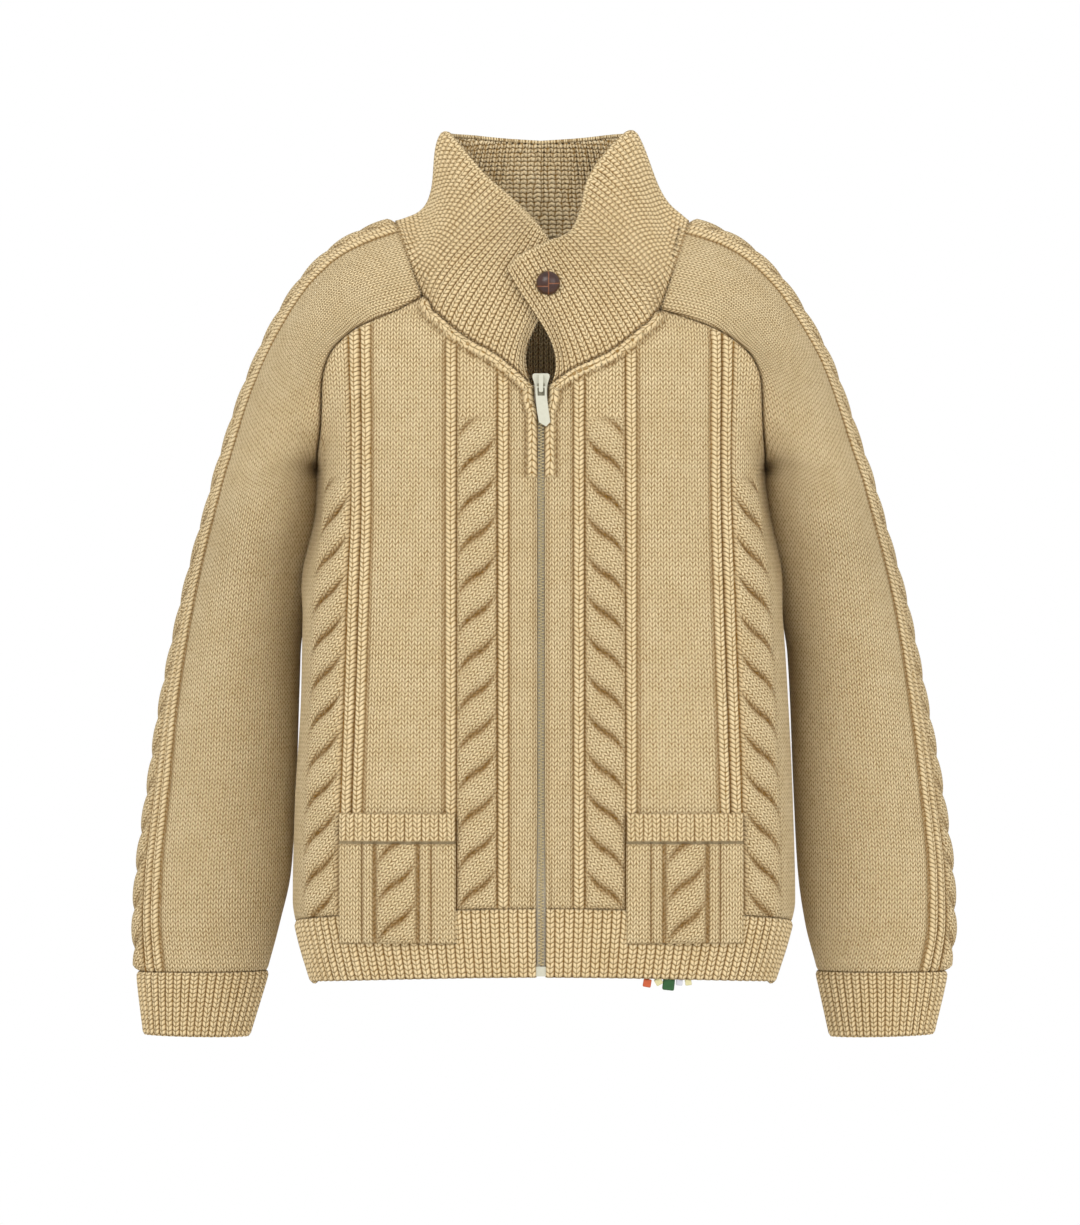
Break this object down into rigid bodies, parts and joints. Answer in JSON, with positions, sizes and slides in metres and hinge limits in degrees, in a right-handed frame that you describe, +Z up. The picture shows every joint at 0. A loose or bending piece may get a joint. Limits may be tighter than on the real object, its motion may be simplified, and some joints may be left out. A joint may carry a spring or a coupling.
{
  "type": "cable-knit zip cardigan",
  "caption": "Hollow worn form of a chunky cable-knit cardigan: zip front, tall ribbed collar with a buttoned tab, raglan sleeves, ribbed hem and cuffs, patch pockets.",
  "frame": {"origin": "middle of the neck at the height of the side neck, where the wearer's shoulders hold the garment", "axes": "+Z up, front faces -Y, +X to the right of someone looking at the front"},
  "size_m": [0.7041, 0.2211, 0.7775],
  "materials": {
    "wool": "chunky wool knit",
    "zip_tape": "woven tape",
    "zip_metal": "pale satin",
    "button_leather": "woven, polished"
  },
  "bodies": {
    "garment": {"front_left": "wool", "front_right": "wool", "back": "wool", "sleeve_left": "wool", "sleeve_right": "wool", "cuff_left": "wool", "cuff_right": "wool", "hem_left": "wool", "hem_right": "wool", "hem_back": "wool", "collar": "wool", "pocket_left": "wool", "pocket_right": "wool", "zip_tape_left": "zip_tape", "zip_tape_right": "zip_tape", "zip_chain": "zip_metal", "zip_box": "zip_metal", "zip_slider": "zip_metal", "button": "button_leather"},
    "pull": {"zip_pull": "zip_metal"}
  },
  "joints": [
    {"name": "pull_hinge", "type": "hinge", "parent": "garment", "child": "pull", "pos_m": [0, -0.1125, -0.145], "axis": [-1, 0, 0], "range_deg": [0, 150]}
  ]
}
